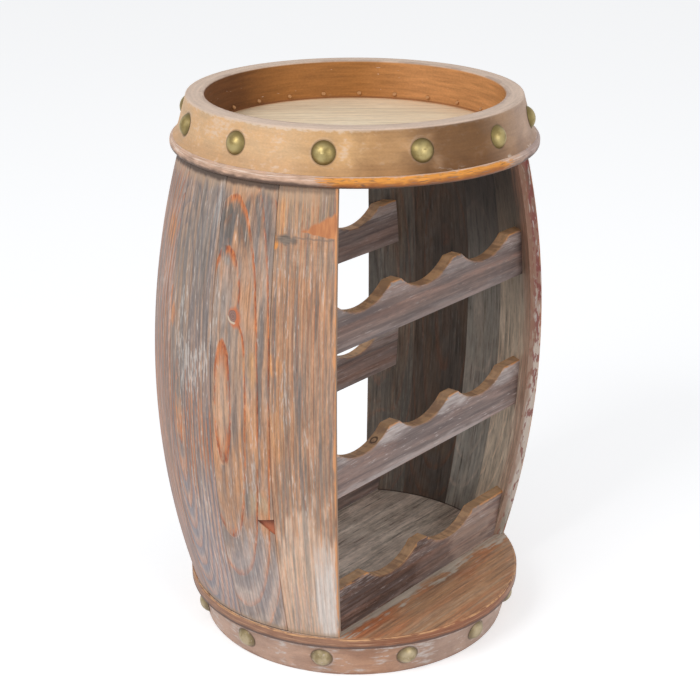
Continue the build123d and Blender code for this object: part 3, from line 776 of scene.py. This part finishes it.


# Base band and tray rim: paint over wood, rubbed and scuffed. Zones are (angle, half width,
# share, colour) of tone shifts round the ring; on the rim, some are painted light and shade
band = {
    "colour": (0.44, 0.235, 0.147), "warm": (0.51, 0.29, 0.185), "dark": (0.27, 0.145, 0.1),
    "scuff": (0.7, 0.63, 0.59), "grime": (0.12, 0.08, 0.06), "studs": 12, "firstStud": -92,
    "studHeight": 20, "seed": 211, "scuffStart": 0.05, "scuffSoft": 0.22, "strokeSizes": (17, 17, 30),
    "sheen": 0.5, "reliefDepth": 0.25,
    "zones": [(-96, 26, 0.6, (0.47, 0.355, 0.3)), (165, 44, 0.6, (0.58, 0.41, 0.33))],
}
rim = {
    "colour": (0.69, 0.455, 0.26), "warm": (0.69, 0.42, 0.215), "dark": (0.53, 0.33, 0.18),
    "scuff": (0.8, 0.72, 0.64), "grime": (0.2, 0.13, 0.08), "low": (0.53, 0.36, 0.26),
    "inside": (0.375, 0.158, 0.043), "insideFoot": (0.22, 0.1, 0.05), "top": (0.68, 0.52, 0.415),
    "topPale": (0.7, 0.62, 0.57), "topPaleRadii": (150, 155), "topDark": (0.24, 0.155, 0.12),
    "studs": 12, "firstStud": -90, "studHeight": 17.5, "seed": 233, "scuffStart": 0.25, "scuffSoft": 0.3,
    "strokeSizes": (10, 10, 26), "sheen": 0.55, "reliefDepth": 0.2,
    "scuffedPlace": (160, 34, 12),  # on both sides
    "calmPlace": (-108, 36, 18),
    # the zones from -128 to -82 degrees darken the rim's right side: partly brown stain, partly painted shade
    "zones": [(-141, 16, 0.75, (0.58, 0.335, 0.145)), (-128, 11, 0.9, (0.43, 0.235, 0.1)),
              (-105, 17, 0.97, (0.165, 0.075, 0.026)), (-82, 12, 0.75, (0.3, 0.18, 0.11)),
              (-55, 24, 0.8, (0.44, 0.31, 0.25))],
    "innerLightAndShade": [(118, 36, 0.9, (0.125, 0.048, 0.018)), (-10, 34, 0.8, (0.62, 0.3, 0.12))],
}


# How far a point is from the nearest stud's middle
def studGap(look, height, out, angle, low):
    step = 2 * math.pi / look["studs"]
    turn = (angle - math.radians(look["firstStud"])) / step + look["studs"]
    sideways = ((turn + 0.5).remainder() - 0.5) * step * out
    return distance(sideways, height - (low + look["studHeight"]))


def zonedTones(paint, zones, angle, blotches, colour):
    for middle, halfWidth, share, tone in zones:
        gap = angle.work("WRAP", angle - math.radians(middle), -math.pi, math.pi)
        wide, narrow = math.radians(halfWidth * 1.5), math.radians(halfWidth * 0.5)
        zone = paint.mask(gap.size() + blotches * 0.2, wide, narrow)
        colour = paint.blend(zone * share, colour, tone)
    return colour


def paintedRing(paint, look, low):
    height, out, angle = roundAxis(paint)
    ringWise = ringWisePlace(paint)
    streaks = paint.noise(ringWise, (36, 36, 34), 0, 3)
    blotches = paint.noise(paint.place, (34, 34, 22), 1, 3, 0.6)
    grain = paint.noise(paint.place, (2.2, 2.2, 1.4), 2, 3)
    paint.colour = paint.blend(paint.mask(blotches, -0.12, 0.12), look["colour"], look["warm"])
    paint.lay((paint.mask(streaks + blotches * 0.5, 0.03, 0.24) * 0.45, look["dark"]))
    toned = zonedTones(paint, look["zones"], angle, blotches, paint.colour)
    paint.colour = paint.shade(toned, 1 + streaks * 0.35 + blotches * 0.7 + grain * 0.3)

    # Scuffs run round the ring in short strokes and gather in patches
    strokes = paint.noise(ringWise, look["strokeSizes"], 3, 3)
    gathered = paint.noise(paint.place, (30, 30, 40), 4)
    rubbed = paint.mask(strokes + gathered * 0.9, look["scuffStart"], look["scuffStart"] + look["scuffSoft"])
    gap = studGap(look, height, out, angle, low)
    halo = paint.mask(gap + strokes * 5, 13, 11.2) * paint.mask(gathered + strokes * 0.4, -0.03, 0.1)
    grime = paint.mask(gap, 11, 10.3)
    return blotches, streaks, strokes, grain, rubbed, halo, grime


def bandFinish(look):
    paint = Finish("base band paint", look["seed"])
    low, high = (corner.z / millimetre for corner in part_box("base_band"))
    blotches, streaks, strokes, grain, rubbed, halo, grime = paintedRing(paint, look, low)
    height = paint.apart(paint.place)[2]
    topEdge = paint.mask((high - 3.4 - height + strokes * 8).size(), 2.6, 0.8)
    topEdge = topEdge * paint.mask(streaks, -0.12, 0.04)
    flecks = paint.noise(paint.place, (8, 8, 3.2), 7, 4)
    spots = paint.mask(flecks + blotches * 0.4, 0.14, 0.22)
    foot = paint.mask(height + strokes * 10, low + 3.4, low + 0.5)
    shadeLine = paint.mask(height + strokes * 2, high - 1.8, high - 0.7)
    paint.lay(
        (rubbed.highest(topEdge) * paint.mask(flecks, -0.2, 0.12) * 0.85, look["scuff"]),
        (spots.highest(halo * 0.5) * 0.6, look["scuff"]),
        (foot.highest(shadeLine) * 0.6, look["dark"]),
        (grime * 0.6, look["grime"]),
    )
    relief = streaks * 0.5 + strokes * 0.5 + rubbed * 0.3 + grain * 0.3
    return paint.close(look["sheen"] + strokes * 0.4, relief, look["reliefDepth"])


def rimFinish(look):
    paint = Finish("tray rim paint", look["seed"])
    low, high = (corner.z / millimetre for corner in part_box("tray_rim"))
    blotches, streaks, strokes, grain, rubbed, halo, grime = paintedRing(paint, look, low)
    height, out, angle = roundAxis(paint)
    inner = boards["trayFloorRadius"]
    outer = paint.mask(out, inner + 3, inner + 8)
    lowPart = paint.mask(height + blotches * 20, low + 15, low + 3)
    lowColour = paint.blend(0.5, paint.colour, look["low"], "MULTIPLY")
    flecks = paint.noise(paint.place, (5, 5, 2.4), 7, 3)
    foot = paint.mask(height + flecks * 14, low + 4, low + 1)
    foot = foot * paint.mask(blotches * 1.4 + flecks, 0.12, 0.3)
    scuffed = paint.facing(angle.size(), look["scuffedPlace"])
    smear = paint.mask(flecks * 0.7 + blotches * 1.1, 0.03, 0.32) * (scuffed * 0.8 + 0.1)
    upperEdge = paint.mask(height + flecks * 8, high - 3.4, high - 1.2) * (scuffed * 0.8 + 0.15)
    worn = (rubbed * (0.5 - paint.facing(angle, look["calmPlace"]) * 0.4)).highest(foot).highest(halo * 0.15)
    worn = worn.highest(smear * 0.6).highest(upperEdge * 0.6)

    # Its inner face, with painted shade on one side and painted light on the other, a dark line at the foot
    # and a few nicks
    innerColour = zonedTones(paint, look["innerLightAndShade"], angle, blotches, look["inside"])
    nick = paint.noise(ringWisePlace(paint), (6, 6, 10), 6, 1)
    innerColour = paint.layered(
        paint.shade(innerColour, 1 + streaks * 0.9 + grain * 0.4),
        (paint.mask(height, low + 2.4, low + 0.8) * 0.6, look["insideFoot"]),
        (paint.mask(nick, 0.27, 0.31) * 0.7, look["scuff"]),
    )

    # Its flat top, pale at the outer edge and dirty at the inner one
    innerLip = paint.mask(out + streaks * 5, inner + 6, inner + 3)
    innerLip = innerLip * paint.mask(streaks + blotches, -0.06, 0.1)
    topColour = paint.layered(
        paint.shade(look["top"], 1 + streaks * 0.6 + grain * 0.3),
        (paint.mask(out + streaks * 4, *look["topPaleRadii"]) * 0.6, look["topPale"]),
        (innerLip * 0.45, look["topDark"]),
    )
    paint.lay(
        (lowPart * 0.5, lowColour),
        (worn * outer * 0.7, look["scuff"]),
        (grime * outer * 0.5, look["grime"]),
        (paint.mask(out, inner + 1.4, inner + 0.6), innerColour),
        (paint.mask(height, high - 1.7, high - 0.4) * 0.95, topColour),
    )
    relief = streaks * 0.5 + strokes * 0.3 + grain * 0.25
    return paint.close(look["sheen"] + strokes * 0.3, relief, look["reliefDepth"])


dress("base_band", bandFinish(band))
dress("tray_rim", rimFinish(rim))
print("wine rack: band and rim dressed")


# Studs, brads, screws and nails
brass = {
    "colour": (0.31, 0.235, 0.095), "worn": (0.4, 0.32, 0.145), "tarnish": (0.12, 0.09, 0.035),
    "paint": (0.44, 0.37, 0.3), "grime": 0.05,
}
dullBrass = {
    "colour": (0.32, 0.255, 0.14), "worn": (0.44, 0.36, 0.235), "tarnish": (0.15, 0.11, 0.062),
    "paint": (0.5, 0.41, 0.34), "grime": 0.7,
}
paintedSteel = {"colour": (0.52, 0.26, 0.1), "dulled": (0.4, 0.19, 0.07), "roughness": 0.5, "metal": 0}
bradSteel = {"colour": (0.34, 0.22, 0.13), "dulled": (0.2, 0.1, 0.05), "roughness": 0.5, "metal": 0.6}
nailSteel = {"colour": (0.35, 0.32, 0.29), "dulled": (0.2, 0.1, 0.05), "roughness": 0.4, "metal": 0.6}
metal = {"brassSeed": 251, "steelSeed": 271, "reliefDepth": 0.05, "gleam": 0.5}


# Antique brass is rubbed bright on a stud's crown and dark towards its edge
def brassFinish(ringName, ring, look):
    finish = Finish(ringName + " stud brass", metal["brassSeed"])
    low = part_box(ringName)[0].z / millimetre
    gap = studGap(ring, *roundAxis(finish), low)
    mottle = finish.noise(finish.place, (7, 7, 7))
    fine = finish.noise(finish.place, (1, 1, 1), 6)
    finish.colour = finish.blend(finish.mask(mottle, -0.15, 0.15), look["colour"], look["worn"])
    edge = finish.mask(gap + mottle * 5, 5.5, 10)
    tarnish = finish.mask(mottle * 0.7 + fine * 0.3, 0.02, -0.16)
    dirt = finish.mask(finish.noise(finish.place, (3, 3, 4), 12, 4), 0.1, 0.2) * look["grime"]
    finish.lay((edge * 0.75, look["tarnish"]), (tarnish * 0.35, look["tarnish"]), (dirt, look["paint"]))
    roughness = 0.43 + edge * 0.1 + fine * 0.1 + dirt * 0.2
    relief = mottle * 0.15 + fine * 0.05
    return finish.close(roughness, relief, metal["reliefDepth"], 1 - dirt * 0.8, metal["gleam"])


def steelFinish(name, look):
    finish = Finish(name, metal["steelSeed"])
    rust = finish.noise(finish.place, (1.2, 1.2, 1.2), 0, 3)
    finish.colour = finish.blend(finish.mask(rust, -0.05, 0.15), look["colour"], look["dulled"])
    roughness = look["roughness"] + rust * 0.3
    return finish.close(roughness, rust, metal["reliefDepth"], look["metal"], metal["gleam"])


dress("tray_studs", brassFinish("tray_rim", rim, brass))
dress("base_studs", brassFinish("base_band", band, dullBrass))
dress("tray_brads", steelFinish("painted brad", paintedSteel))
dress("base_brads", steelFinish("brad steel", bradSteel))
nailFinish = steelFinish("nail steel", nailSteel)
for name in ("base_screws", "tray_screws", "rail_nails"):
    dress(name, nailFinish)
print("wine rack: metal dressed")


# Floor, light and camera
studio = {
    "floorSize": 14,
    "floorColour": (0.79, 0.805, 0.83),
    "floorRoughness": 0.9,
    "floorGlow": 0.48,  # seen by the camera alone, so that the open floor is white
    "skyStrength": 0.5,
    "keyPower": 28,
    "keySize": 1.1,
    "keyPlace": (-2.15, 0.1, 2.0),
    "fillPower": 21,
    "fillSize": 1.4,
    "fillPlace": (-0.7, -2.6, 1.15),
    "aim": (0, 0, 0.26),
    "lens": 82.63,
    "sensorWidth": 36,
    "cameraPlace": (-1.0907, -0.8935, 0.8104),
    "cameraTurn": (68.77, 0, -50.503),
}


# 1 for what the camera sees straight or by reflection
def seenDirectly(tree):
    path = tree.nodes.new("ShaderNodeLightPath")
    total = path.outputs["Is Camera Ray"]
    for ray in ("Is Glossy Ray", "Is Transmission Ray"):
        more = tree.nodes.new("ShaderNodeMath")
        more.operation = "MAXIMUM"
        tree.links.new(total, more.inputs[0])
        tree.links.new(path.outputs[ray], more.inputs[1])
        total = more.outputs[0]
    return total


def setFloor():
    bpy.ops.mesh.primitive_plane_add(size=studio["floorSize"], location=(0, 0, 0))
    floor = bpy.context.active_object
    floor.name = "floor"
    finish = Finish("floor paper")
    glow = Amount(finish, seenDirectly(finish.tree))
    finish.set({"Base Color": studio["floorColour"], "Roughness": studio["floorRoughness"]})
    finish.set({"Specular IOR Level": 0, "Emission Color": glow, "Emission Strength": studio["floorGlow"]})
    floor.data.materials.append(finish.material)


def setSky():
    world = bpy.data.worlds.new("studio air")
    world.use_nodes = True
    tree = world.node_tree
    background = tree.nodes["Background"]
    background.inputs["Color"].default_value = (1, 1, 1, 1)
    strength = tree.nodes.new("ShaderNodeMix")
    strength.inputs["A"].default_value = studio["skyStrength"]
    strength.inputs["B"].default_value = 1
    tree.links.new(seenDirectly(tree), strength.inputs["Factor"])
    tree.links.new(strength.outputs["Result"], background.inputs["Strength"])
    bpy.context.scene.world = world


def setLamp(name):
    light = bpy.data.lights.new(name, "AREA")
    light.energy = studio[name + "Power"]
    light.size = studio[name + "Size"]
    lamp = bpy.data.objects.new(name, light)
    lamp.location = studio[name + "Place"]
    aim = [studio["aim"][axis] - studio[name + "Place"][axis] for axis in range(3)]
    turn = math.atan2(aim[1], aim[0]) - math.pi / 2
    tip = math.atan2(math.hypot(aim[0], aim[1]), -aim[2])
    lamp.rotation_euler = (tip, 0, turn)
    bpy.context.collection.objects.link(lamp)


def setCamera():
    camera = bpy.data.cameras.new("view")
    camera.lens = studio["lens"]
    camera.sensor_width = studio["sensorWidth"]
    holder = bpy.data.objects.new("view", camera)
    holder.location = studio["cameraPlace"]
    holder.rotation_euler = [math.radians(turn) for turn in studio["cameraTurn"]]
    bpy.context.collection.objects.link(holder)
    bpy.context.scene.camera = holder


setFloor()
setSky()
for lamp in ("key", "fill"):
    setLamp(lamp)
setCamera()
bpy.context.scene.view_settings.view_transform = "Standard"
print("wine rack: studio set")

bpy.context.view_layer.update()
